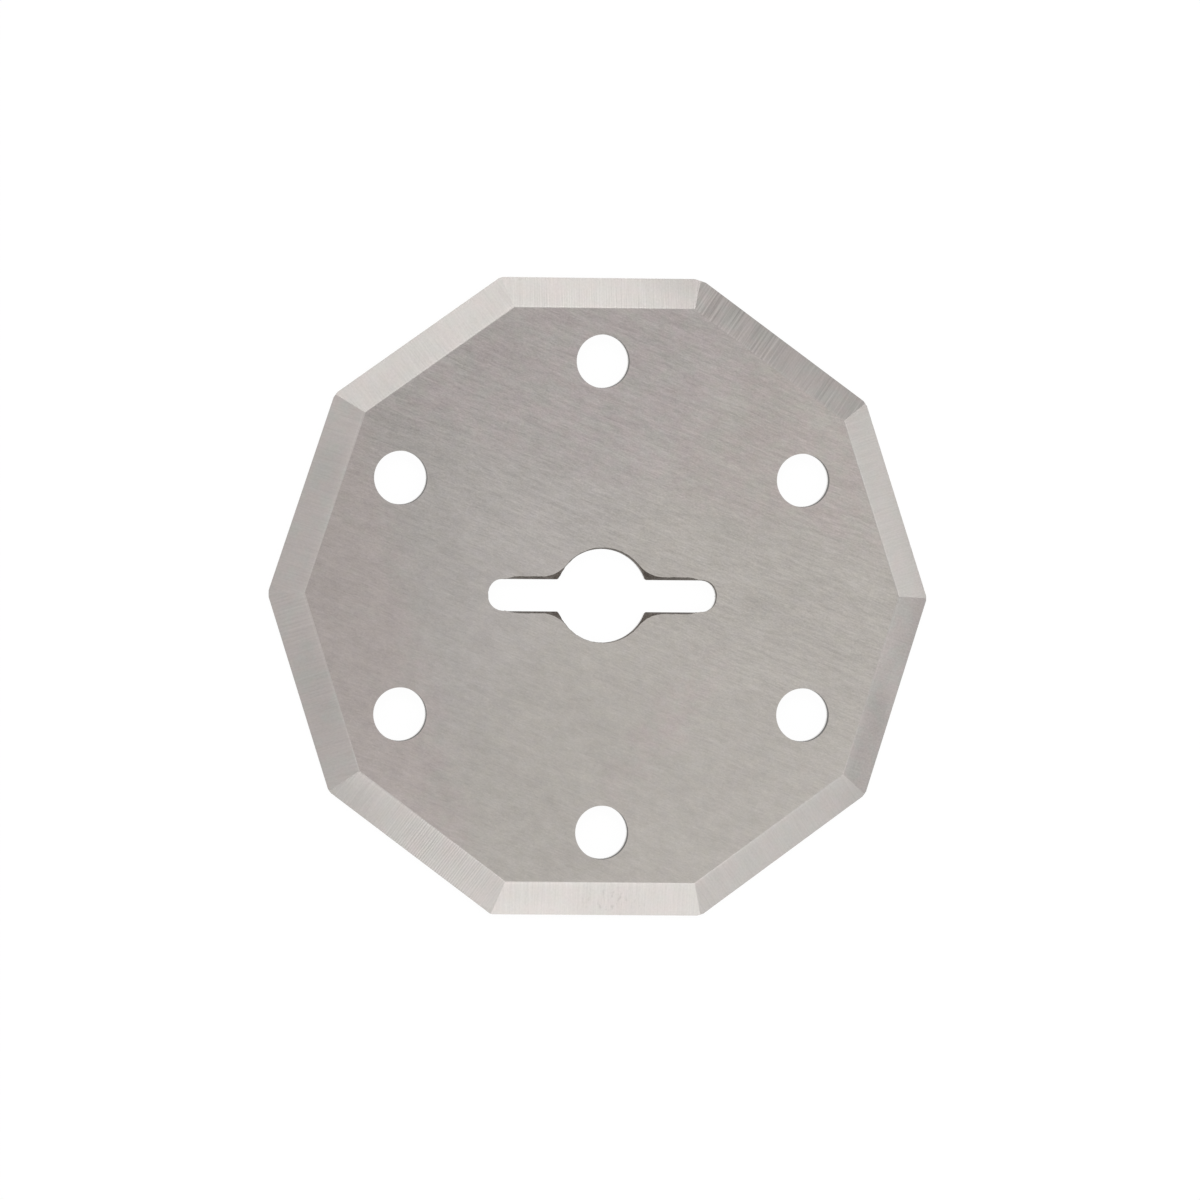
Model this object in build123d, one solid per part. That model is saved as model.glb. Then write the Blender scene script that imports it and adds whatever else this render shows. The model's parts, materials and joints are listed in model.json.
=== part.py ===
from build123d import *
import os
from math import cos, pi, radians, sin

# Ten-sided rotary cutter blade, punched and ground from one disc of steel strip.
# It lies flat on its back face. The origin is on the bore's axis at the back face,
# +Z points out of the front face, and +X runs along the drive slots.
# All sizes are in millimetres.

# Blank
blank_diameter = 25.0       # disc that the cutting edges are ground from
thickness = 0.5             # steel strip

# Ground cutting edges, each bevelled from both faces
edge_count = 10
cutting_flats = 23.85       # across two opposite cutting edges
bevel_width = 1.18          # from a cutting edge in to the face, seen square to the face
front_shift_x = 0.11        # the front bevels are ground a little off centre
front_shift_y = 0.04

# Round drive holes
hole_count = 6
hole_circle_diameter = 17.6
hole_diameter = 2.0

# Central bore with two opposite drive slots
bore_diameter = 3.5
slot_width = 1.2
slot_span = 8.7             # end to end, across both slots
corner_radius = 0.1         # where a slot meets the bore

# Break-out that the punch leaves round the central opening, up to the front face
land_height = 0.2           # straight wall above the back face
bore_flare = 0.04           # added to the bore's radius
slot_flare = 0.08           # added to each side of a slot
flare_corner_radius = 0.9   # where a widened slot meets the widened bore

# Room that a cutter has past the faces and rim it runs over
cutter_clearance = 1.0


def edge_cutter(turn):
    """Stock taken away outside one cutting edge, which faces the direction turn in degrees."""
    face_reach = cutting_flats / 2 - bevel_width
    shift = front_shift_x * cos(radians(turn)) + front_shift_y * sin(radians(turn))
    rim = blank_diameter / 2 + cutter_clearance
    section = Polygon(
        (cutting_flats / 2, thickness / 2),
        (face_reach + shift, thickness),
        (face_reach + shift, thickness + cutter_clearance),
        (rim, thickness + cutter_clearance),
        (rim, -cutter_clearance),
        (face_reach, -cutter_clearance),
        (face_reach, 0),
        align=None,
    )
    return Rot(0, 0, turn) * extrude(Plane.XZ * section, rim, both=True)


def ground_plate():
    """Disc with its cutting edges ground, and a sliver of the rim left at each corner."""
    step = 360 / edge_count
    cutters = [edge_cutter(step * (index + 0.5)) for index in range(edge_count)]
    return extrude(Circle(blank_diameter / 2), thickness) - cutters


def drive_holes():
    """Round holes evenly spaced on one circle, the first one on the +Y axis."""
    places = PolarLocations(hole_circle_diameter / 2, hole_count, start_angle=90)
    return [place * extrude(Circle(hole_diameter / 2), thickness) for place in places]


def keyed_outline(radius, width, blend_radius):
    """Bore with two opposite slots, and a blend in each corner between them."""
    outline = Circle(radius) + SlotOverall(slot_span, width)
    corners = outline.vertices().sort_by_distance((0, 0))[:4]
    return fillet(corners, blend_radius)


def central_opening():
    """Keyed bore: a straight land at the back, then the punch's break-out to the front."""
    land = keyed_outline(bore_diameter / 2, slot_width, corner_radius)
    mouth = keyed_outline(
        bore_diameter / 2 + bore_flare, slot_width + 2 * slot_flare, flare_corner_radius
    )
    break_out = loft([Pos(0, 0, land_height) * land, Pos(0, 0, thickness) * mouth], ruled=True)
    return extrude(land, land_height) + break_out


blade = ground_plate() - drive_holes() - central_opening()

os.makedirs("parts", exist_ok=True)
export_step(blade, "parts/blade.step")

sharp_corner = cutting_flats / 2 / cos(pi / edge_count)
print(f"sharp corners would reach {sharp_corner:.3f} mm, the blank {blank_diameter / 2:.3f} mm")
print(f"blade volume {blade.volume:.2f} mm3, faces {len(blade.faces())}")
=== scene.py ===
"""Looks of a ten-sided rotary cutter blade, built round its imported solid.

The blade is modelled again as one fine mesh that stands for the solid, with the same outline, bevels,
holes and keyed bore. It is modelled in millimetres and set to metres at the end, in the solid's own frame:
+Z out of the front face, +X along the drive slots. The grinding lines, the punched walls and the torn
break-out round the bore are finishes of their own.
"""

import json
import logging
from collections.abc import Callable
from dataclasses import dataclass
from enum import Enum
from math import atan2, cos, degrees, hypot, pi, radians, sin, tan

import bmesh
import bpy
from mathutils import Euler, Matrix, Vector, noise


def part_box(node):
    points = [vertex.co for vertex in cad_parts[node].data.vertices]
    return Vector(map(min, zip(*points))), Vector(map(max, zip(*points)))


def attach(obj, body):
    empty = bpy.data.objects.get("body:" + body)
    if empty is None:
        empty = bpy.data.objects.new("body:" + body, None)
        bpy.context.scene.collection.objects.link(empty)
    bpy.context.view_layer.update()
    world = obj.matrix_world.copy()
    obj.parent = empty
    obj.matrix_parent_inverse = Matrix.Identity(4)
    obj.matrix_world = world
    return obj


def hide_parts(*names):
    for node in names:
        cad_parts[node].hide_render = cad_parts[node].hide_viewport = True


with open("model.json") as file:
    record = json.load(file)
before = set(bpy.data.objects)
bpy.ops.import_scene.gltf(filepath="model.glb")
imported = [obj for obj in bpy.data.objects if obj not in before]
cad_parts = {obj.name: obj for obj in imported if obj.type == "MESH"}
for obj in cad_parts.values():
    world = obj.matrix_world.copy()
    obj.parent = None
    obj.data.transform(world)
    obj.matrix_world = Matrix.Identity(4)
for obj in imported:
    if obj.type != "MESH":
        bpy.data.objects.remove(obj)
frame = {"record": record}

LOG = logging.getLogger("blade")
MM = 0.001
GRIND_MAP = "grind"
WHITE = (1.0, 1.0, 1.0, 1.0)

# Millimetres, and degrees for the turn
HOLES_OFF_CENTRE = (0.067, -0.020)
HOLES_TURN = 0.17
BEVEL_ROW = 20.0
WELD = 1e-5
LEVEL = 1e-6


class Signal:
    """A shader socket that Python arithmetic works on, one Math node for each operation."""

    def __init__(self, bench: "Bench", socket: bpy.types.NodeSocket) -> None:
        """Keeps the output socket and the bench that new nodes are made on."""
        self.bench = bench
        self.socket = socket

    def __add__(self, other: "Signal | float") -> "Signal":
        """Sum."""
        return self.bench.maths("ADD", self, other)

    __radd__ = __add__

    def __sub__(self, other: "Signal | float") -> "Signal":
        """Difference."""
        return self.bench.maths("SUBTRACT", self, other)

    def __rsub__(self, other: float) -> "Signal":
        """Difference from a plain number."""
        return self.bench.maths("SUBTRACT", other, self)

    def __mul__(self, other: "Signal | float") -> "Signal":
        """Product."""
        return self.bench.maths("MULTIPLY", self, other)

    __rmul__ = __mul__

    def rise(self, low: float, high: float) -> "Signal":
        """A smooth step from 0 to 1.

        Args:
            low: Where the step starts.
            high: Where it ends.

        Returns:
            The step as a signal.
        """
        settings = {"interpolation_type": "SMOOTHSTEP"}
        inputs = {"Value": self, "From Min": low, "From Max": high}
        return self.bench.signal("ShaderNodeMapRange", settings, inputs, "Result")


@dataclass(frozen=True)
class Grain:
    """A layer of noise: the size of its grain along each axis, its share of the tone, and its detail."""

    sizes: tuple[float, float, float]
    gain: float = 1.0
    detail: float = 2.0


@dataclass(frozen=True)
class Patch:
    """A soft oval spot: its middle and half sizes along the first two axes, and what it is in its middle."""

    centre: tuple[float, float]
    reach: tuple[float, float]
    gain: float = 1.0


@dataclass(frozen=True)
class Slope:
    """A smooth step across the blade: its direction, and where it starts and ends, in millimetres."""

    way: tuple[float, float, float]
    low: float
    high: float


class Bench:
    """Makes the nodes of one material, world or floor."""

    def __init__(self, tree: bpy.types.NodeTree) -> None:
        """Takes a node tree and empties it."""
        self.tree = tree
        tree.nodes.clear()

    def node(self, kind: str, settings: dict | None = None, inputs: dict | None = None) -> bpy.types.Node:
        """One node of any kind.

        Args:
            kind: The node's type name.
            settings: Its properties, set before its sockets.
            inputs: The value or link of each named or numbered socket.

        Returns:
            The node.
        """
        made = self.tree.nodes.new(kind)
        for name, value in (settings or {}).items():
            setattr(made, name, value)
        for name, value in (inputs or {}).items():
            socket = made.inputs[name]
            source = value.socket if isinstance(value, Signal) else value
            if isinstance(source, bpy.types.NodeSocket):
                self.tree.links.new(source, socket)
            else:
                socket.default_value = source
        return made

    def signal(self, kind: str, settings: dict, inputs: dict, output: str | int = 0) -> Signal:
        """One node, given back as the signal of its named or numbered output."""
        return Signal(self, self.node(kind, settings, inputs).outputs[output])

    def place(self, kind: str, settings: dict, inputs: dict, output: str | int = 0) -> "Place":
        """One node, given back as the coordinates that its named or numbered output carries."""
        return Place(self, self.node(kind, settings, inputs).outputs[output])

    def maths(self, operation: str, *values: Signal | float) -> Signal:
        """One Math node of an operation, with its inputs in order."""
        return self.signal("ShaderNodeMath", {"operation": operation}, dict(enumerate(values)))

    def vectors(self, operation: str, *values: Signal | tuple) -> "Place":
        """One Vector Math node of an operation, with its inputs in order."""
        return self.place("ShaderNodeVectorMath", {"operation": operation}, dict(enumerate(values)))

    def mixed(self, factor: Signal, first: tuple, second: tuple) -> Signal:
        """A colour between two, the first where the factor is 0 and the second where it is 1."""
        settings = {"data_type": "RGBA", "clamp_factor": True}
        return self.signal("ShaderNodeMix", settings, {0: factor, 6: first, 7: second}, 2)

    def chilled(self, colour: Signal, share: Signal) -> Signal:
        """A colour with its blue raised by a share of itself."""
        scale = self.signal("ShaderNodeCombineXYZ", {}, {"X": 1.0, "Y": 1.0, "Z": share + 1.0})
        return self.vectors("MULTIPLY", colour, scale)

    def toned(self, colour: Signal, tone: Signal) -> Signal:
        """A colour made lighter or darker, by what it is multiplied by."""
        return self.signal("ShaderNodeVectorMath", {"operation": "SCALE"}, {0: colour, "Scale": tone})


class Place(Signal):
    """A shader socket that carries coordinates, on which patterns are laid."""

    noise_roughness = 0.55
    patch_core = 0.2

    def axis(self, name: str) -> Signal:
        """The coordinate along the axis of that name."""
        return self.bench.signal("ShaderNodeSeparateXYZ", {}, {0: self}, name)

    def stretched(self, sizes: tuple[float, float, float]) -> "Place":
        """The place divided by a size along each axis, so that a pattern of unit scale has that grain."""
        return self.bench.vectors("MULTIPLY", self, tuple(1 / size for size in sizes))

    def grain(self, grain: Grain) -> Signal:
        """Noise with a stated grain, from about -1 to 1.

        Args:
            grain: The noise's sizes and detail.

        Returns:
            The noise, centred on 0.
        """
        inputs = {"Vector": self.stretched(grain.sizes), "Scale": 1.0}
        inputs |= {"Detail": grain.detail, "Roughness": self.noise_roughness}
        return (self.bench.signal("ShaderNodeTexNoise", {}, inputs, "Fac") - 0.5) * 2.0

    def layer(self, grain: Grain) -> Signal:
        """Noise with a stated grain, times its share of the tone."""
        return self.grain(grain) * grain.gain

    def chips(self, grain: Grain) -> Signal:
        """Cells with a crisp edge, each of one random tone from -1 to 1.

        Args:
            grain: The cells' sizes.

        Returns:
            The cells' tones, centred on 0.
        """
        inputs = {"Vector": self.stretched(grain.sizes), "Scale": 1.0}
        shade = self.bench.place("ShaderNodeTexVoronoi", {"feature": "F1"}, inputs, "Color")
        return (shade.axis("X") - 0.5) * 2.0

    def along(self, way: tuple[float, float, float]) -> Signal:
        """How far the place lies along a direction."""
        settings = {"operation": "DOT_PRODUCT"}
        return self.bench.signal("ShaderNodeVectorMath", settings, {0: self, 1: way}, "Value")

    def slope(self, slope: Slope) -> Signal:
        """A smooth step from 0 to 1 in a direction."""
        return self.along(slope.way).rise(slope.low, slope.high)

    def bent(self, size: float, reach: float) -> "Place":
        """The place moved a little sideways by broad noise, so that straight strokes wander.

        Args:
            size: The noise's grain.
            reach: How far it moves a place.

        Returns:
            The moved place.
        """
        wander = self.grain(Grain((size, size, 1.0), detail=1.0))
        off = self.bench.signal("ShaderNodeCombineXYZ", {}, {"Y": wander * reach})
        return self.bench.vectors("ADD", self, off)

    def patch(self, patch: Patch) -> Signal:
        """A soft oval spot, at its full strength in its middle and 0 outside.

        Args:
            patch: The spot's place, size and strength.

        Returns:
            The spot's strength.
        """
        off = self.bench.vectors("SUBTRACT", self, (*patch.centre, 0.0))
        share = off.stretched((*patch.reach, 1.0))
        far = self.bench.signal("ShaderNodeVectorMath", {"operation": "LENGTH"}, {0: share}, "Value")
        return (1.0 - far.rise(self.patch_core, 1.0)) * patch.gain


def new_material(name: str) -> tuple[bpy.types.Material, Bench]:
    """An empty node material.

    Args:
        name: Its name.

    Returns:
        The material and the bench for its nodes.
    """
    material = bpy.data.materials.new(name)
    material.use_nodes = True
    return material, Bench(material.node_tree)


def finish_steel(bench: Bench, colour: Signal, roughness: Signal, height: Signal, relief: float) -> None:
    """Ends a steel material with its shader and output.

    Args:
        bench: The material's bench.
        colour: The base colour.
        roughness: The roughness.
        height: The relief's height, from about -1 to 1.
        relief: What a height of 1 measures, in metres.
    """
    bump = bench.signal("ShaderNodeBump", {}, {"Strength": 1.0, "Distance": relief, "Height": height})
    inputs = {"Base Color": colour, "Metallic": 1.0, "Roughness": roughness, "Normal": bump}
    shader = bench.signal("ShaderNodeBsdfPrincipled", {}, inputs)
    bench.node("ShaderNodeOutputMaterial", {}, {"Surface": shader})


class Grind(Enum):
    """How a bevel was ground: its name, how strongly its fine and broad lines show, and its relief."""

    FINE = ("fine", 0.09, 0.045, 3.0e-7)
    RIPPLED = ("rippled", 0.10, 0.05, 6.0e-7)
    COARSE = ("coarse", 0.13, 0.04, 8.0e-7)

    def __init__(self, label: str, line_gain: float, wide_gain: float, relief: float) -> None:
        """Keeps what tells the grinds apart.

        Args:
            label: The grind's name.
            line_gain: The fine lines' share of the tone.
            wide_gain: The broad lines' share of the tone.
            relief: The lines' height in metres.
        """
        self.label = label
        self.line_gain = line_gain
        self.wide_gain = wide_gain
        self.relief = relief


@dataclass(frozen=True)
class FaceFinish:
    """The flat faces: short, crisp grinding strokes over faint clouds of tint. Places are in millimetres."""

    warm: tuple = (0.4560, 0.4115, 0.3960, 1.0)
    cool: tuple = (0.4400, 0.4175, 0.3905, 1.0)
    roughness: float = 0.34
    stroke_roughness: float = 0.04
    cloud_roughness: float = 0.03
    relief: float = 4.0e-7
    stroke_relief: float = 1.5
    level: float = 0.977
    drift_way: tuple = (0.96, -0.29, 0.0)
    drift_per_mm: float = 0.0104
    light_spots: tuple[Patch, ...] = (
        Patch((-1.0, 1.2), (10.0, 8.5), 0.072),
        Patch((0.0, 0.0), (12.0, 12.0), 0.030),
        Patch((-3.6, -0.5), (4.5, 10.0), 0.032),
        Patch((-4.0, 6.4), (4.0, 3.2), 0.036),
        Patch((-3.8, -5.2), (3.5, 3.2), 0.030),
        Patch((5.2, 1.8), (3.4, 3.0), 0.034),
    )
    bend_size: float = 3.0
    bend_reach: float = 0.10
    hair: Grain = Grain((0.22, 0.046, 1.0), 0.16)
    chip: Grain = Grain((0.75, 0.056, 1.0), 0.045)
    grit: Grain = Grain((0.075, 0.055, 1.0), 0.16, 1.0)
    stroke: Grain = Grain((0.65, 0.12, 1.0), 0.04)
    band: Grain = Grain((2.4, 0.55, 1.0), 0.10)
    cloud: Grain = Grain((4.0, 3.0, 1.0), 0.05)
    mottle: Grain = Grain((0.30, 0.22, 1.0), 0.065)
    smear: Grain = Grain((0.75, 0.60, 1.0), 0.10)
    heavy: Slope = Slope((0.5, 0.86, 0.0), -5.0, 3.0)
    fine_everywhere: float = 0.64
    fine_where_heavy: float = 0.42
    stroke_where_heavy: float = 0.09
    soft_where_light: float = 0.7
    left: Slope = Slope((-0.97, -0.22, 0.0), 6.0, 8.4)
    top: Slope = Slope((0.25, 0.97, 0.0), 3.4, 5.5)
    low: Slope = Slope((0.80, -0.60, 0.0), -2.5, 0.8)
    left_warmth: float = 0.95
    top_warmth: float = 0.45
    seam_way: tuple = (0.62, 0.78, 0.0)
    seam_across: tuple = (0.78, -0.62, 0.0)
    seam: Patch = Patch((-2.4, 4.9), (4.8, 1.3), 0.42)
    warmth_everywhere: float = 0.12
    blotch: Grain = Grain((0.45, 0.36, 1.0), 0.7, 1.0)
    wide_blotch: Grain = Grain((1.3, 1.1, 1.0))
    blotch_everywhere: float = 0.3
    blotch_where_warm: float = 2.8
    calm_at_left: float = 2.1
    cells: Grain = Grain((0.42, 0.42, 1.0), 0.035)
    less_yellow: float = 0.022

    def make(self) -> bpy.types.Material:
        """Makes the material.

        Returns:
            The material.
        """
        material, bench = new_material("ground_face")
        spot = bench.place("ShaderNodeTexCoord", {}, {}, "Object").stretched((MM, MM, MM))
        drift = spot.along(self.drift_way)
        heavy = spot.slope(self.heavy)
        light = sum(spot.patch(patch) for patch in self.light_spots)
        grind = bench.place("ShaderNodeUVMap", {"uv_map": GRIND_MAP}, {})
        place = grind.bent(self.bend_size, self.bend_reach)
        hair = place.grain(self.hair)
        chip = place.chips(self.chip)
        grit = place.grain(self.grit)
        stroke = place.grain(self.stroke)
        cloud = place.grain(self.cloud)
        lines = hair * self.hair.gain + chip * self.chip.gain + grit * self.grit.gain
        lines = lines + stroke * self.stroke.gain
        fine = lines * (self.fine_everywhere + heavy * self.fine_where_heavy)
        band = place.layer(self.band) + stroke * self.stroke_where_heavy
        broad = band * heavy + cloud * self.cloud.gain
        soft = (place.layer(self.mottle) + place.layer(self.smear)) * (1.0 - heavy * self.soft_where_light)
        tone = fine + broad + soft + light + drift * self.drift_per_mm + self.level
        tint, chill = self.tints(spot, place)
        colour = bench.toned(bench.chilled(bench.mixed(tint, self.cool, self.warm), chill), tone)
        roughness = self.roughness + stroke * self.stroke_roughness + cloud * self.cloud_roughness
        finish_steel(bench, colour, roughness, hair + stroke * self.stroke_relief, self.relief)
        return material

    def tints(self, spot: Place, place: Place) -> tuple[Signal, Signal]:
        """Where the steel looks warm, at the left, the top and a seam between, and where it is less yellow.

        Args:
            spot: The place on the blade, in millimetres.
            place: The coordinates along and across the grinding lines.

        Returns:
            The share of the warm colour, and the share that blue is raised by.
        """
        left = spot.slope(self.left)
        top = spot.slope(self.top)
        ways = {"X": spot.along(self.seam_way), "Y": spot.along(self.seam_across)}
        seam = spot.bench.place("ShaderNodeCombineXYZ", {}, ways).patch(self.seam)
        warmth = left * self.left_warmth + top * self.top_warmth + seam
        blotch = place.layer(self.blotch) + place.layer(self.wide_blotch)
        contrast = warmth * (self.blotch_where_warm - left * self.calm_at_left) + self.blotch_everywhere
        tint = warmth + self.warmth_everywhere + blotch * contrast
        upper = 1.0 - spot.slope(self.low)
        return tint, place.layer(self.cells) + upper * (1.0 - left) * self.less_yellow


@dataclass(frozen=True)
class BevelSpot:
    """A soft oval spot on one bevel, in millimetres out from the axis and along the cutting edge."""

    bevel: int
    out: float
    along: float
    half_width: float
    half_length: float
    gain: float = 1.0

    def patch(self) -> Patch:
        """The spot on the grinding map."""
        middle = (self.out, BEVEL_ROW * self.bevel + self.along)
        return Patch(middle, (self.half_width, self.half_length), self.gain)


@dataclass(frozen=True)
class BevelFinish:
    """A bevel: lines across it from the cutting edge to the face, as its grind left them.

    Places are in millimetres on the grinding map, where each bevel has a row of its own.
    """

    grind: Grind
    bevels: tuple[int, ...]
    warm: tuple = (0.4640, 0.4275, 0.4140, 1.0)
    cool: tuple = (0.4490, 0.4345, 0.4160, 1.0)
    roughness: float = 0.30
    cloud_roughness: float = 0.03
    middle: float = 11.3
    reach: tuple[float, float] = (8.0, 9.0)
    line: Grain = Grain((1.3, 0.055, 1.0), detail=1.0)
    wide: Grain = Grain((2.2, 0.18, 1.0))
    grit: Grain = Grain((0.09, 0.07, 1.0), 0.085, 1.0)
    cloud: Grain = Grain((1.2, 1.6, 1.0), 0.045)
    cells: Grain = Grain((0.42, 0.42, 1.0), 0.030)
    blotch: Grain = Grain((0.7, 0.9, 1.0), 1.4)
    warmth: float = 0.35
    warm_bevels: tuple[int, ...] = (1, 4, 5, 9)
    warm_bevel_warmth: float = 0.35
    warm_bevel_blotch: float = 1.6
    worn_bevel: int = 9
    worn_grit: float = 0.07
    # Whole-bevel tone changes: partly each bevel's own grind, partly painted reflection of the soft box that
    # the bevel faces.
    tones: tuple = ((0, 0.030), (2, -0.008), (3, -0.020), (5, 0.012), (7, -0.035), (8, 0.040), (9, 0.034))
    spots: tuple[BevelSpot, ...] = (
        BevelSpot(0, 12.00, -3.0, 0.75, 6.0, -0.065),
        BevelSpot(1, 11.90, 0.0, 0.90, 7.0, -0.040),
        BevelSpot(2, 11.90, -3.3, 0.90, 2.2, -0.085),
        BevelSpot(2, 11.00, -3.8, 1.50, 1.6, -0.030),
        BevelSpot(2, 11.00, -0.2, 1.10, 2.6, 0.030),
        BevelSpot(2, 11.40, 3.8, 1.50, 2.6, -0.040),
        BevelSpot(4, 11.50, -3.6, 1.40, 2.2, 0.045),
        BevelSpot(4, 10.75, 0.0, 0.35, 6.0, 0.035),
        BevelSpot(5, 11.25, 0.0, 0.80, 2.6, -0.045),
        BevelSpot(5, 11.30, 3.9, 1.50, 1.8, 0.045),
        BevelSpot(5, 10.85, -3.0, 0.50, 2.5, 0.030),
        BevelSpot(6, 11.80, -3.3, 1.10, 2.4, -0.085),
        BevelSpot(6, 11.90, 2.2, 0.80, 3.0, 0.050),
        BevelSpot(7, 12.00, -2.6, 0.90, 4.5, 0.050),
        BevelSpot(7, 12.00, 3.0, 0.80, 3.0, 0.020),
        BevelSpot(8, 11.90, 3.7, 0.90, 1.9, -0.055),
        BevelSpot(9, 11.95, 3.6, 0.80, 2.8, -0.110),
        BevelSpot(9, 11.60, 0.5, 0.50, 0.9, 0.060),
        BevelSpot(9, 11.85, -0.3, 0.30, 1.0, 0.060),
        BevelSpot(9, 10.90, 1.4, 0.50, 2.4, 0.060),
        BevelSpot(9, 10.80, -2.6, 0.40, 2.2, 0.065),
        BevelSpot(9, 11.15, -0.5, 0.45, 0.7, -0.045),
        BevelSpot(9, 11.55, -0.9, 0.48, 1.4, -0.055),
        BevelSpot(9, 11.35, -2.3, 1.00, 3.0, -0.050),
    )
    face_side: tuple[float, float] = (10.75, 11.08)
    face_side_light: float = 0.024
    arris_place: float = 10.785
    # A painted highlight: a thin bright line along the bevel's border with the face, with its place, softness
    # and strength.
    arris_softness: tuple[float, float] = (0.012, 0.036)
    arris_painted_highlight: float = 0.05
    edge_side: tuple[float, float] = (11.86, 11.91)
    edge_side_dark: float = 0.02
    ripple_length: float = 0.094
    ripple_wander: float = 3.0
    ripple_spots: tuple[BevelSpot, ...] = (
        BevelSpot(6, 11.3, 0.9, 1.6, 3.4),
        BevelSpot(2, 10.9, 0.0, 0.9, 5.0, 0.40),
    )
    ripple_gain: float = 0.11
    ripple_relief: float = 0.8
    chatter_length: float = 0.150
    chatter_wander: float = 2.0
    chatter_spot: BevelSpot = BevelSpot(5, 11.4, -2.8, 1.1, 1.6, 0.035)
    speckle: Grain = Grain((0.26, 0.11, 1.0), 0.15)
    speckle_edge: tuple[float, float] = (0.10, 0.40)
    speckle_ground: float = 0.010
    speckle_spot: BevelSpot = BevelSpot(7, 11.45, 0.5, 0.8, 1.8)
    plough_length: float = 0.170
    plough_wander: float = 5.0
    plough_gain: float = 0.046
    rib: Grain = Grain((2.6, 0.075, 1.0), 0.30, 1.0)
    rib_relief: float = 2.0
    coarse_depth: float = 0.74
    coarse_strong: tuple[float, float] = (-0.5, 0.5)
    coarse_strong_gain: float = 0.46
    coarse_faint: BevelSpot = BevelSpot(1, 11.3, -0.7, 3.0, 1.0, 0.30)
    coarse_fade: tuple[float, float] = (11.15, 11.85)
    coarse_fade_share: float = 0.15

    def make(self) -> bpy.types.Material:
        """Makes the material.

        Returns:
            The material.
        """
        material, bench = new_material(f"bevel_{self.grind.label}")
        place = bench.place("ShaderNodeUVMap", {"uv_map": GRIND_MAP}, {})
        cloud = place.grain(self.cloud)
        ways = {Grind.FINE: self.fine, Grind.RIPPLED: self.rippled, Grind.COARSE: self.coarse}
        tone, height = ways[self.grind](place)
        warmer = sum(self.whole(place, number, 1.0) for number in self.warm_bevels)
        contrast = warmer * self.warm_bevel_blotch + self.blotch.gain
        tint = place.grain(self.blotch) * contrast + warmer * self.warm_bevel_warmth + self.warmth
        base = bench.chilled(bench.mixed(tint, self.cool, self.warm), place.layer(self.cells))
        gritty = self.whole(place, self.worn_bevel, self.worn_grit) + self.grit.gain
        grit = place.grain(self.grit) * gritty
        level = self.level(place) + self.borders(place)
        colour = bench.toned(base, tone + cloud * self.cloud.gain + grit + level)
        finish_steel(bench, colour, self.roughness + cloud * self.cloud_roughness, height, self.grind.relief)
        return material

    def whole(self, place: Place, number: int, gain: float) -> Signal:
        """A gain on the whole of one bevel, and 0 on the others."""
        return place.patch(BevelSpot(number, self.middle, 0.0, *self.reach, gain).patch())

    def wave(self, place: Place, length: float, wander: Signal) -> Signal:
        """Even waves from -1 to 1 along the cutting edge, of a length, and shifted by an angle."""
        return place.bench.maths("SINE", place.axis("Y") * (2 * pi / length) + wander)

    def level(self, place: Place) -> Signal:
        """The tone of the bevels: a change over the whole of some bevels, partly their own grind and partly
        painted reflection of the soft boxes that they face, and soft spots lighter or darker.

        Args:
            place: The coordinates along and across the grinding lines.

        Returns:
            The tone, 1 where nothing changes it.
        """
        # The whole-bevel tones, partly painted reflection of the soft boxes, then the soft spots.
        tones = [self.whole(place, number, change) for number, change in self.tones]
        spots = [place.patch(spot.patch()) for spot in self.spots if spot.bevel in self.bevels]
        return sum(tones + spots) + 1.0

    def borders(self, place: Place) -> Signal:
        """The tone's change along a bevel's two borders.

        Args:
            place: The coordinates along and across the grinding lines.

        Returns:
            The change: lighter towards the face, with a painted highlight as a thin bright line along the
                border there, and darker at the cutting edge.
        """
        along = place.axis("X")
        near_face = 1.0 - along.rise(*self.face_side)
        # Painted highlight: a thin bright line along the border with the face.
        arris = 1.0 - place.bench.maths("ABSOLUTE", along - self.arris_place).rise(*self.arris_softness)
        edge = along.rise(*self.edge_side)
        return near_face * self.face_side_light + arris * self.arris_painted_highlight - edge * self.edge_side_dark

    def fine(self, place: Place) -> tuple[Signal, Signal]:
        """Fine lines, with wider ripples at one end of a bevel and dull speckles on another.

        Args:
            place: The coordinates along and across the grinding lines.

        Returns:
            The tone's change and the relief's height.
        """
        line, wide = place.grain(self.line), place.grain(self.wide)
        wave = self.wave(place, self.chatter_length, wide * self.chatter_wander)
        chatter = wave * place.patch(self.chatter_spot.patch())
        speckle = place.grain(self.speckle).rise(*self.speckle_edge) * self.speckle.gain
        speckled = place.patch(self.speckle_spot.patch()) * (speckle + self.speckle_ground)
        tone = line * self.grind.line_gain + wide * self.grind.wide_gain + chatter - speckled
        return tone, line + wide

    def rippled(self, place: Place) -> tuple[Signal, Signal]:
        """Even ripples along the bevel, which come and go.

        Args:
            place: The coordinates along and across the grinding lines.

        Returns:
            The tone's change and the relief's height.
        """
        line, wide = place.grain(self.line), place.grain(self.wide)
        wave = self.wave(place, self.ripple_length, wide * self.ripple_wander)
        ripple = wave * sum(place.patch(spot.patch()) for spot in self.ripple_spots)
        tone = line * self.grind.line_gain + ripple * self.ripple_gain + wide * self.grind.wide_gain
        return tone, line + ripple * self.ripple_relief

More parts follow.
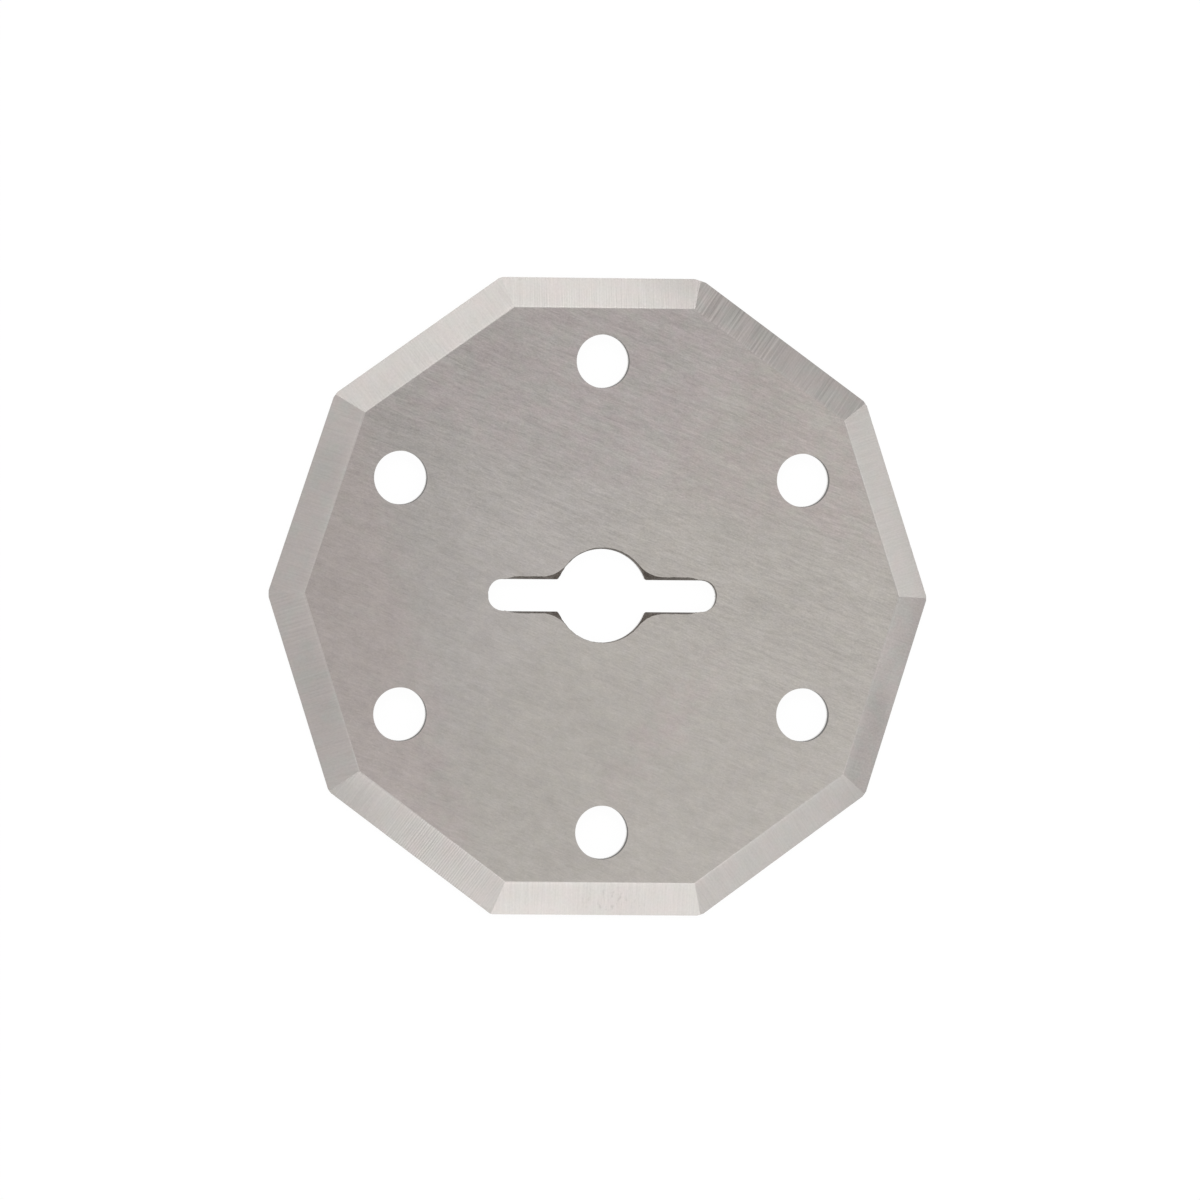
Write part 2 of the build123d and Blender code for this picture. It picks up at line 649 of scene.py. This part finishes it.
    def coarse(self, place: Place) -> tuple[Signal, Signal]:
        """Deep lines, strong in one half of the bevel and faint before its middle.

        Args:
            place: The coordinates along and across the grinding lines.

        Returns:
            The tone's change and the relief's height.
        """
        line, wide, rib = place.grain(self.line), place.grain(self.wide), place.grain(self.rib)
        wave = self.wave(place, self.plough_length, wide * self.plough_wander)
        row = BEVEL_ROW * self.coarse_faint.bevel
        strong = place.axis("Y").rise(*(row + edge for edge in self.coarse_strong)) * self.coarse_strong_gain
        depth = self.coarse_depth + strong - place.patch(self.coarse_faint.patch())
        fade = 1.0 - place.axis("X").rise(*self.coarse_fade) * self.coarse_fade_share
        deep = rib * self.rib.gain + wave * self.plough_gain + wide * self.grind.wide_gain
        return line * self.grind.line_gain + deep * depth * fade, rib * self.rib_relief + line


@dataclass(frozen=True)
class WallFinish:
    """Punched walls: a bright land that the punch burnished, or the dull break above it."""

    burnished: bool
    dark: tuple = (0.075, 0.067, 0.060, 1.0)
    bright: tuple = (0.620, 0.608, 0.596, 1.0)
    dark_roughness: float = 0.45
    bright_roughness: float = 0.20
    lighter: float = 1.2
    light_share: float = 0.5
    streak: Grain = Grain((0.08 * MM, 0.08 * MM, 0.6 * MM), 0.20)
    streak_roughness: float = 0.08
    band: Grain = Grain((2.0 * MM, 2.0 * MM, 0.05 * MM), 0.12, 1.0)
    relief: float = 2.0e-6

    def make(self) -> bpy.types.Material:
        """Makes the material.

        Returns:
            The material.
        """
        colour = self.bright if self.burnished else self.dark
        rough = self.bright_roughness if self.burnished else self.dark_roughness
        material, bench = new_material("burnished_land" if self.burnished else "punched_wall")
        place = bench.place("ShaderNodeTexCoord", {}, {}, "Object")
        streak = place.grain(self.streak)
        band = place.grain(self.band)
        light = tuple(part * self.lighter for part in colour[:3]) + (1.0,)
        base = bench.mixed(streak + self.light_share, colour, light)
        tone = 1.0 + streak * self.streak.gain + band * self.band.gain
        roughness = rough + streak * self.streak_roughness
        finish_steel(bench, bench.toned(base, tone), roughness, streak + band, self.relief)
        return material


@dataclass(frozen=True)
class TornFinish:
    """The break-out: dark torn metal with a few bright crumbs."""

    dark: tuple = (0.105, 0.088, 0.076, 1.0)
    light: tuple = (0.200, 0.178, 0.158, 1.0)
    light_share: float = 0.4
    roughness: float = 0.55
    crumb_roughness: float = 0.1
    crumb: Grain = Grain((0.07 * MM,) * 3, 1.5)
    clump: Grain = Grain((0.30 * MM,) * 3, 0.8)
    clump_tone: float = 0.2
    relief: float = 6.0e-6

    def make(self) -> bpy.types.Material:
        """Makes the material.

        Returns:
            The material.
        """
        material, bench = new_material("torn_break_out")
        place = bench.place("ShaderNodeTexCoord", {}, {}, "Object")
        crumb = place.grain(self.crumb)
        clump = place.grain(self.clump)
        share = crumb * self.crumb.gain + clump * self.clump.gain + self.light_share
        base = bench.mixed(share, self.dark, self.light)
        colour = bench.toned(base, 1.0 + clump * self.clump_tone)
        finish_steel(bench, colour, self.roughness + crumb * self.crumb_roughness, crumb + clump, self.relief)
        return material


class Zone(Enum):
    """The finishes of the blade, by material slot."""

    FACE = 0
    FINE_BEVEL = 1
    RIPPLED_BEVEL = 2
    COARSE_BEVEL = 3
    LAND = 4
    WALL = 5
    TORN = 6


def deselect() -> None:
    """Leaves edit mode and selects nothing."""
    if bpy.context.object and bpy.context.object.mode == "EDIT":
        bpy.ops.object.mode_set(mode="OBJECT")
    bpy.ops.object.select_all(action="DESELECT")


def new_ring(name: str, count: int, radius: float, height: float, turn: float = 0.0) -> bpy.types.Object:
    """A ring of edges, in edit mode with all of it selected.

    Args:
        name: The object's name.
        count: How many points it has.
        radius: The radius of its points.
        height: Where it lies in Z.
        turn: How far it is turned about Z, in radians.

    Returns:
        The new object.
    """
    deselect()
    bpy.ops.mesh.primitive_circle_add(
        vertices=count, radius=radius, fill_type="NOTHING", location=(0, 0, height), rotation=(0, 0, turn)
    )
    ring = bpy.context.object
    ring.name = name
    bpy.ops.object.transform_apply(location=True, rotation=True, scale=True)
    bpy.ops.object.mode_set(mode="EDIT")
    bpy.ops.mesh.select_mode(type="VERT")
    bpy.ops.mesh.select_all(action="SELECT")
    return ring


def raise_ring(
    rise: float,
    growth: float = 1.0,
    shift: tuple[float, float] = (0.0, 0.0),
    centre: tuple[float, float] = (0.0, 0.0),
) -> None:
    """Extrudes the selected ring into a band of wall and leaves its new edge selected.

    Args:
        rise: How far it goes up.
        growth: What its size is multiplied by, about its centre.
        shift: How far it moves sideways.
        centre: Its centre before it moves.
    """
    bpy.ops.mesh.extrude_region_move(TRANSFORM_OT_translate={"value": (*shift, rise)})
    middle = (centre[0] + shift[0], centre[1] + shift[1], 0.0)
    bpy.ops.transform.resize(value=(growth, growth, 1.0), center_override=middle)


def place_selected(spot: Callable[[int, Vector], tuple[float, float, float]]) -> None:
    """Sets each selected point of the mesh in edit mode to where a formula puts it.

    Args:
        spot: Gives a point's new place from its number in its ring and its old place.
    """
    mesh = bmesh.from_edit_mesh(bpy.context.object.data)
    ring = [v for v in mesh.verts if v.select]
    for number, point in enumerate(ring):
        point.co = spot(number, point.co)
    bmesh.update_edit_mesh(bpy.context.object.data)


@dataclass
class CuttingRim:
    """The ten cutting edges with their bevels on both faces, and the blunt tips between them."""

    rim_radius: float
    flat_reach: float
    thickness: float
    edge_count: int = 10
    bevel_width: float = 1.18
    front_shift: tuple[float, float] = (0.11, 0.04)
    easing: float = 0.012
    edge_inset: tuple[float, ...] = (0.04, 0.05, 0.02, 0.025, 0.055, 0.02, -0.015, 0.025, -0.015, 0.02)
    edge_turn: tuple[float, ...] = (0.0, 0.2, 0.15, -0.45, -0.35, -0.35, -0.65, -0.35, 0.05, 0.55)
    rim_inset: float = 0.022
    rim_centre: tuple[float, float] = (0.0, -0.031)
    worn_tips: tuple[int, ...] = (0, 2, 5)
    keen_tips: tuple[int, ...] = (3, 7, 9)
    tip_spread: float = 0.02

    def corner(self, reach: float) -> float:
        """The radius of a corner whose flats reach that far."""
        return reach / cos(pi / self.edge_count)

    def build(self) -> bpy.types.Object:
        """Models the band from the back face round the cutting edge to the front face.

        Returns:
            The rim, open at both faces.
        """
        half = self.thickness / 2
        slope = half / self.bevel_width
        inner = self.flat_reach - self.bevel_width
        drop = self.easing * slope
        turn = pi / self.edge_count
        rim = new_ring("cutting_rim", self.edge_count, self.corner(inner - self.easing), 0.0, turn)
        raise_ring(drop, (inner + self.easing) / (inner - self.easing))
        raise_ring(half - drop, self.flat_reach / (inner + self.easing))
        raise_ring(half - drop, (inner + self.easing) / self.flat_reach)
        bpy.ops.transform.translate(value=(*self.front_shift, 0.0))
        raise_ring(drop)
        growth = (inner - self.easing) / (inner + self.easing)
        bpy.ops.transform.resize(value=(growth, growth, 1.0), center_override=(*self.front_shift, 0.0))
        bpy.ops.mesh.select_all(action="SELECT")
        place_selected(self.slipped)
        self.blunt_tips()
        bpy.ops.object.mode_set(mode="OBJECT")
        return rim

    def slipped(self, number: int, old: Vector) -> tuple[float, float, float]:
        """A corner's place once its two edges are ground as far in and as turned as they are on this blade.

        Args:
            number: The point's number, which isn't used.
            old: Its place on the even outline.

        Returns:
            Its new place.
        """
        turn = 2 * pi / self.edge_count
        after = round(atan2(old.y, old.x) / turn) % self.edge_count
        before = (after - 1) % self.edge_count
        half_edge = self.flat_reach * tan(turn / 2)
        out_before = -self.edge_inset[before] - radians(self.edge_turn[before]) * half_edge
        out_after = -self.edge_inset[after] + radians(self.edge_turn[after]) * half_edge
        outward = (out_after + out_before) / (2 * cos(turn / 2))
        onward = (out_after - out_before) / (2 * sin(turn / 2))
        angle = turn * after
        x = old.x + outward * cos(angle) - onward * sin(angle)
        y = old.y + outward * sin(angle) + onward * cos(angle)
        return x, y, old.z

    def blunt_tips(self) -> None:
        """Cuts each tip square, where the disc's own rim was left by the grinding."""
        for number in range(self.edge_count):
            angle = 2 * pi * number / self.edge_count
            way = (cos(angle), sin(angle), 0.0)
            wear = self.tip_spread * ((number in self.worn_tips) - (number in self.keen_tips))
            reach = self.rim_radius - self.rim_inset - wear
            spot = (self.rim_centre[0] + reach * way[0], self.rim_centre[1] + reach * way[1], 0.0)
            bpy.ops.mesh.select_all(action="SELECT")
            bpy.ops.mesh.bisect(plane_co=spot, plane_no=way, clear_outer=True, use_fill=True, threshold=WELD)


@dataclass
class DriveHole:
    """One round punched hole."""

    radius: float
    thickness: float
    place: tuple[float, float]
    segments: int = 120
    land: float = 0.2
    back_roll: float = 0.006
    front_flare: float = 0.004
    lean: float = 0.030

    def build(self) -> bpy.types.Object:
        """Models the hole's wall.

        Returns:
            The wall, open at both faces.
        """
        stages = (
            (self.back_roll, self.radius),
            (self.land - self.back_roll, self.radius),
            (self.thickness - self.land, self.radius + self.front_flare),
        )
        hole = new_ring("drive_hole", self.segments, self.radius + self.back_roll, 0.0)
        bpy.ops.transform.translate(value=(0.0, self.lean, 0.0))
        centre, last = self.lean, self.radius + self.back_roll
        for rise, radius in stages:
            step = -self.lean * rise / self.thickness
            raise_ring(rise, radius / last, (0.0, step), (0.0, centre))
            centre, last = centre + step, radius
        bpy.ops.mesh.select_all(action="SELECT")
        bpy.ops.transform.translate(value=(*self.place, 0.0))
        bpy.ops.object.mode_set(mode="OBJECT")
        return hole


@dataclass
class KeyedBore:
    """The round bore with its two slots, straight at the back and torn open towards the front."""

    radius: float
    land: float
    thickness: float
    slot_width: float = 1.2
    slot_span: float = 8.66
    end_power: float = 0.93
    corner: float = 0.1
    bore_flare: float = 0.036
    slot_flare: float = 0.09
    mouth_corner: float = 1.2
    mouth_shift: float = 0.015
    mouth_lean: float = 0.001
    flare_fade: float = 0.5
    place: tuple[float, float] = (0.077, 0.027)
    torn_rows: int = 8
    tear: float = 0.020
    tear_seed: int = 1
    tear_growth: float = 4.0
    tear_at_mouth: float = 0.6
    wander_size: float = 0.16
    crumb_size: float = 0.05
    crumb_share: float = 0.5
    crumb_lift: float = 7.0
    end_points: int = 24
    side_points: int = 60
    corner_points: int = 24
    bore_points: int = 40

    def quarter(self, radius: float, flare: float, blend: float) -> list[tuple[float, float]]:
        """The outline's points where x and y are positive, from the slot's end to the bore's top.

        Args:
            radius: The bore's radius.
            flare: How much wider the slot's side is than the land, away from the slot's end.
            blend: The radius between bore and slot.

        Returns:
            The points, without the last one on the Y axis.
        """
        half_land = self.slot_width / 2
        half_width = half_land + flare
        end = self.slot_span / 2 - half_land
        centre = (((radius + blend) ** 2 - (half_width + blend) ** 2) ** 0.5, half_width + blend)
        meet = atan2(centre[1], centre[0])
        points = []
        for step in range(self.end_points):
            angle = pi / 2 * step / self.end_points
            across, up = cos(angle) ** self.end_power, sin(angle) ** self.end_power
            points.append((end + half_land * across, half_land * up))
        for step in range(self.side_points):
            x = end + (centre[0] - end) * step / self.side_points
            share = min(1.0, (end - x) / self.flare_fade)
            points.append((x, half_land + flare * share * share * (3 - 2 * share)))
        for step in range(self.corner_points):
            angle = -pi / 2 - (pi / 2 - meet) * step / self.corner_points
            points.append((centre[0] + blend * cos(angle), centre[1] + blend * sin(angle)))
        for step in range(self.bore_points):
            angle = meet + (pi / 2 - meet) * step / self.bore_points
            points.append((radius * cos(angle), radius * sin(angle)))
        return points

    def outline(self, opened: float) -> list[tuple[float, float]]:
        """The whole outline at one stage between the land and the mouth.

        Args:
            opened: 0 at the land and 1 at the mouth.

        Returns:
            The points, anticlockwise.
        """
        land = self.quarter(self.radius, 0.0, self.corner)
        mouth = self.quarter(self.radius + self.bore_flare, self.slot_flare, self.mouth_corner)
        first = [(a[0] + (b[0] - a[0]) * opened, a[1] + (b[1] - a[1]) * opened) for a, b in zip(land, mouth)]
        top = (0.0, self.radius + self.bore_flare * opened)
        second = [top] + [(-x, y) for x, y in reversed(first[1:])]
        upper = first + second
        whole = upper + [(-x, -y) for x, y in upper]
        return [(x, y + (self.mouth_shift + self.mouth_lean * x) * opened) for x, y in whole]

    def set_ring(self, height: float, opened: float) -> None:
        """Moves the selected ring onto the outline, with the unevenness of torn metal.

        Args:
            height: The ring's height.
            opened: 0 at the land and 1 at the mouth.
        """
        line = self.outline(opened)
        rough = self.tear * min(1.0, self.tear_growth * opened) * (1.0 if opened < 1 else self.tear_at_mouth)

        def spot(number: int, old: Vector) -> tuple[float, float, float]:
            """A point of the outline with its tear.

            Args:
                number: The point's number in the outline.
                old: Its old place, which isn't used.

            Returns:
                Its new place.
            """
            x, y = line[number]
            wander = noise.noise_vector(Vector((x, y, height)) / self.wander_size)
            crumb = noise.noise_vector(Vector((x, y, height + self.crumb_lift)) / self.crumb_size)
            off = (wander + crumb * self.crumb_share) * rough
            rise = off.z if 0 < opened < 1 else 0.0
            return (x + off.x + self.place[0], y + off.y + self.place[1], height + rise)

        place_selected(spot)

    def build(self) -> bpy.types.Object:
        """Models the opening's wall.

        Returns:
            The wall, open at both faces.
        """
        noise.seed_set(self.tear_seed)
        count = len(self.outline(0.0))
        bore = new_ring("keyed_bore", count, self.radius, 0.0)
        self.set_ring(0.0, 0.0)
        bpy.ops.mesh.extrude_region_move(TRANSFORM_OT_translate={"value": (0.0, 0.0, self.land)})
        for row in range(1, self.torn_rows + 1):
            opened = row / self.torn_rows
            bpy.ops.mesh.extrude_region_move(TRANSFORM_OT_translate={"value": (0.0, 0.0, 0.0)})
            self.set_ring(self.land + (self.thickness - self.land) * opened, opened)
        bpy.ops.object.mode_set(mode="OBJECT")
        return bore


@dataclass
class Blade:
    """The whole blade, one closed mesh."""

    rim: CuttingRim
    holes: list[DriveHole]
    bore: KeyedBore
    stroke_angle: float = -21.5
    coarse_bevels: tuple[int, ...] = (1,)
    rippled_bevels: tuple[int, ...] = (2, 6)
    fine_bevels: tuple[int, ...] = (0, 3, 4, 5, 7, 8, 9)
    smooth_below: float = 4.0
    torn_smooth_below: float = 50.0
    rim_bevels_in: float = 1.4
    bore_margin: float = 0.5
    flat_above: float = 0.999
    bevel_above: float = 0.5

    def build(self) -> bpy.types.Object:
        """Models the blade's walls and closes both faces.

        Returns:
            The blade.
        """
        walls = [self.rim.build(), self.bore.build()] + [hole.build() for hole in self.holes]
        deselect()
        for wall in walls:
            wall.select_set(True)
        bpy.context.view_layer.objects.active = walls[0]
        bpy.ops.object.join()
        blade = bpy.context.object
        blade.name = "ground_blade"
        blade.data.name = "ground_blade"
        bpy.ops.object.mode_set(mode="EDIT")
        for height in (0.0, self.rim.thickness):
            self.close_face(height)
        bpy.ops.mesh.select_all(action="SELECT")
        bpy.ops.mesh.remove_doubles(threshold=WELD)
        bpy.ops.mesh.normals_make_consistent(inside=False)
        bpy.ops.object.mode_set(mode="OBJECT")
        return blade

    def close_face(self, height: float) -> None:
        """Fills one flat face between the rim and the openings.

        Args:
            height: The face's height.
        """
        bpy.ops.mesh.select_mode(type="EDGE")
        bpy.ops.mesh.select_all(action="DESELECT")
        mesh = bmesh.from_edit_mesh(bpy.context.object.data)
        for edge in mesh.edges:
            level = all(abs(v.co.z - height) < LEVEL for v in edge.verts)
            edge.select_set(level and edge.is_boundary)
        bmesh.update_edit_mesh(bpy.context.object.data)
        bpy.ops.mesh.fill(use_beauty=True)

    def zone_of(self, face: bmesh.types.BMFace) -> Zone:
        """The finish that a face of the mesh takes, from its place and slope.

        Args:
            face: The face, in millimetres.

        Returns:
            Its zone.
        """
        middle = face.calc_center_median()
        rim_from = self.rim.flat_reach - self.rim_bevels_in * self.rim.bevel_width
        outside = hypot(middle.x, middle.y) > rim_from
        if abs(face.normal.z) > self.flat_above:
            return Zone.FACE
        if outside and abs(face.normal.z) > self.bevel_above:
            number = self.bevel_number(middle)
            if middle.z > self.rim.thickness / 2 and number in self.coarse_bevels:
                return Zone.COARSE_BEVEL
            if middle.z > self.rim.thickness / 2 and number in self.rippled_bevels:
                return Zone.RIPPLED_BEVEL
            return Zone.FINE_BEVEL
        inside_x = abs(middle.x) < self.bore.slot_span / 2 + self.bore_margin
        inside_y = abs(middle.y) < self.bore.radius + self.bore_margin
        if inside_x and inside_y and middle.z > self.bore.land:
            return Zone.TORN
        return Zone.WALL if outside or middle.z > self.bore.land else Zone.LAND

    def bevel_number(self, spot: Vector) -> int:
        """The number of the bevel nearest to a spot, counted from +X anticlockwise."""
        share = degrees(atan2(spot.y, spot.x)) % 360 / (360 / self.rim.edge_count)
        return int(share)

    def grind_place(self, zone: Zone, number: int, spot: Vector) -> tuple[float, float]:
        """A spot's place along and across the grinding lines, in millimetres.

        Args:
            zone: The finish there.
            number: The bevel's number.
            spot: The spot.

        Returns:
            The distance along the lines and across them.
        """
        if zone in (Zone.FINE_BEVEL, Zone.RIPPLED_BEVEL, Zone.COARSE_BEVEL):
            angle = radians(360 / self.rim.edge_count * (number + 0.5))
            shift_x, shift_y = self.rim.front_shift
            share = max(0.0, 2 * spot.z / self.rim.thickness - 1)
            shift = (shift_x * cos(angle) + shift_y * sin(angle)) * share - self.rim.edge_inset[number]
            along = spot.x * cos(angle) + spot.y * sin(angle) - shift
            across = spot.y * cos(angle) - spot.x * sin(angle)
            return along, across + BEVEL_ROW * number
        angle = radians(self.stroke_angle)
        return spot.x * cos(angle) + spot.y * sin(angle), spot.y * cos(angle) - spot.x * sin(angle)

    def dress(self, blade: bpy.types.Object) -> None:
        """Gives the blade its materials, its grinding map and its sharp edges, and sets it to metres.

        Args:
            blade: The blade's object.
        """
        finishes = [
            FaceFinish(),
            BevelFinish(Grind.FINE, self.fine_bevels),
            BevelFinish(Grind.RIPPLED, self.rippled_bevels),
            BevelFinish(Grind.COARSE, self.coarse_bevels),
            WallFinish(burnished=True),
            WallFinish(burnished=False),
            TornFinish(),
        ]
        for finish in finishes:
            blade.data.materials.append(finish.make())
        mesh = bmesh.new()
        mesh.from_mesh(blade.data)
        grind = mesh.loops.layers.uv.new(GRIND_MAP)
        for face in mesh.faces:
            zone = self.zone_of(face)
            number = self.bevel_number(face.calc_center_median())
            face.material_index = zone.value
            face.smooth = True
            for loop in face.loops:
                loop[grind].uv = self.grind_place(zone, number, loop.vert.co)
        for edge in mesh.edges:
            edge.smooth = self.flows(edge)
        mesh.to_mesh(blade.data)
        mesh.free()
        deselect()
        blade.select_set(True)
        bpy.context.view_layer.objects.active = blade
        blade.scale = (MM, MM, MM)
        bpy.ops.object.transform_apply(location=True, rotation=True, scale=True)

    def flows(self, edge: bmesh.types.BMEdge) -> bool:
        """Whether the shading runs on over an edge.

        Args:
            edge: The edge, between two faces that have their finishes.

        Returns:
            True where it is smooth.
        """
        torn = all(face.material_index == Zone.TORN.value for face in edge.link_faces)
        limit = self.torn_smooth_below if torn else self.smooth_below
        return edge.calc_face_angle(pi) < radians(limit)


@dataclass(frozen=True)
class SoftBox:
    """A level soft box over the blade. Its place and size are shares of its height."""

    name: str
    east: float
    north: float
    width: float
    depth: float
    radiance: float
    height: float = 0.5

    def build(self) -> None:
        """Hangs the soft box."""
        data = bpy.data.lights.new(self.name, "AREA")
        data.shape = "RECTANGLE"
        data.size = self.width * self.height
        data.size_y = self.depth * self.height
        data.energy = self.radiance * pi * data.size * data.size_y
        made = bpy.data.objects.new(self.name, data)
        made.location = (self.east * self.height, self.north * self.height, self.height)
        bpy.context.scene.collection.objects.link(made)


@dataclass
class Studio:
    """The pale floor, the soft boxes and the camera."""

    target: Vector
    fill: float = 0.78
    fill_colour: tuple = (1.0, 0.995, 0.985, 1.0)
    floor_radius: float = 1.5
    floor_gap: float = 0.01 * MM
    floor_points: int = 96
    floor_white: float = 0.95
    floor_colour: tuple = (0.97, 0.97, 0.97, 1.0)
    floor_glow: float = 1.01
    back_box: SoftBox = SoftBox("back_softbox", -0.182, 0.800, 0.775, 0.637, 2.50)
    front_box: SoftBox = SoftBox("front_softbox", 0.180, -0.400, 0.514, 0.366, 1.60)
    side_box: SoftBox = SoftBox("side_softbox", 1.100, 0.149, 0.531, 0.247, 2.50)
    left_card: SoftBox = SoftBox("left_card", -0.400, 0.000, 0.400, 0.500, 0.08)
    camera_turn: tuple[float, float, float] = (-0.35, 9.57, -0.42)
    sensor_width: float = 36.0
    clip: tuple[float, float] = (0.01, 10.0)
    picture_pixels: int = 1200
    focal_pixels: float = 8000.0
    pixels_per_mm: float = 26.78
    centre_pixels: tuple[float, float] = (0.75, 3.59)

    def build_world(self) -> None:
        """Makes the even light from all round."""
        world = bpy.data.worlds.new("studio")
        bpy.context.scene.world = world
        world.use_nodes = True
        bench = Bench(world.node_tree)
        light = bench.signal("ShaderNodeBackground", {}, {"Color": self.fill_colour, "Strength": self.fill})
        bench.node("ShaderNodeOutputWorld", {}, {"Surface": light})

    def build_floor(self) -> None:
        """Lays the floor just under the blade. It is white to the eye and keeps a faint shadow."""
        deselect()
        bpy.ops.mesh.primitive_circle_add(
            vertices=self.floor_points,
            radius=self.floor_radius,
            fill_type="NGON",
            location=(0, 0, -self.floor_gap),
        )
        floor = bpy.context.object
        floor.name = "floor"
        material, bench = new_material("floor_paper")
        path = bench.node("ShaderNodeLightPath")
        rays = ("Is Camera Ray", "Is Glossy Ray", "Is Transmission Ray")
        seen = sum(Signal(bench, path.outputs[ray]) for ray in rays)
        white = bench.maths("MINIMUM", seen, 1.0) * self.floor_white
        paper = bench.signal("ShaderNodeBsdfDiffuse", {}, {"Color": self.floor_colour})
        glow = bench.signal("ShaderNodeEmission", {}, {"Color": WHITE, "Strength": self.floor_glow})
        top = bench.signal("ShaderNodeMixShader", {}, {0: white, 1: paper, 2: glow})
        clear = bench.signal("ShaderNodeBsdfTransparent", {}, {})
        below = bench.signal("ShaderNodeNewGeometry", {}, {}, "Backfacing")
        both = bench.signal("ShaderNodeMixShader", {}, {0: below, 1: top, 2: clear})
        bench.node("ShaderNodeOutputMaterial", {}, {"Surface": both})
        floor.data.materials.append(material)

    def build_camera(self) -> None:
        """Sets the camera where the photograph was taken from."""
        data = bpy.data.cameras.new("camera")
        data.sensor_width = self.sensor_width
        data.lens = data.sensor_width * self.focal_pixels / self.picture_pixels
        camera = bpy.data.objects.new("camera", data)
        bpy.context.scene.collection.objects.link(camera)
        tilt_x, tilt_y, roll = (radians(angle) for angle in self.camera_turn)
        seen = Euler((tilt_x, tilt_y, 0.0), "XYZ").to_matrix() @ Euler((0.0, 0.0, roll), "XYZ").to_matrix()
        across, up = self.centre_pixels
        offset = Vector((-across, -up, self.focal_pixels)) / self.pixels_per_mm * MM
        camera.matrix_world = seen.transposed().to_4x4()
        camera.location = self.target + seen.transposed() @ offset
        data.clip_start, data.clip_end = self.clip
        bpy.context.scene.camera = camera

    def build(self) -> None:
        """Builds the whole studio."""
        self.build_world()
        for box in (self.back_box, self.front_box, self.side_box, self.left_card):
            box.build()
        self.build_floor()
        self.build_camera()
        bpy.context.scene.view_settings.view_transform = "Standard"


def blade_from_frame(mounts: dict[str, dict]) -> Blade:
    """Works the blade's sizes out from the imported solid's box and its mounts.

    Args:
        mounts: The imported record's mounts by name.

    Returns:
        The blade, ready to build.
    """
    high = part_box("blade")[1] / MM
    bore = mounts["centre_bore"]["dims"]
    ring = mounts["drive_holes"]["dims"]
    first = pi / 2 + radians(HOLES_TURN)
    places = [first + 2 * pi * number / ring["count"] for number in range(ring["count"])]
    reach = ring["pcd_mm"] / 2
    east, north = HOLES_OFF_CENTRE
    centres = [(reach * cos(angle) + east, reach * sin(angle) + north) for angle in places]
    holes = [DriveHole(ring["hole_r_mm"], high.z, centre) for centre in centres]
    return Blade(
        rim=CuttingRim(rim_radius=high.x, flat_reach=high.y, thickness=high.z),
        holes=holes,
        bore=KeyedBore(radius=bore["r_mm"], land=bore["length_mm"], thickness=high.z),
    )


def main() -> None:
    """Builds the blade and its studio, and reports each piece."""
    logging.basicConfig(level=logging.INFO, format="%(message)s")
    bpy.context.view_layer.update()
    mounts = {mount["name"]: mount for mount in frame["record"]["mounts"]}
    blade = blade_from_frame(mounts)
    piece = blade.build()
    blade.dress(piece)
    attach(piece, "root")
    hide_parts("blade")
    LOG.info("%s: %d points, %d faces", piece.name, len(piece.data.vertices), len(piece.data.polygons))
    Studio(target=Vector((0.0, 0.0, blade.rim.thickness * MM))).build()
    LOG.info("studio built")


if __name__ == "__main__":
    main()
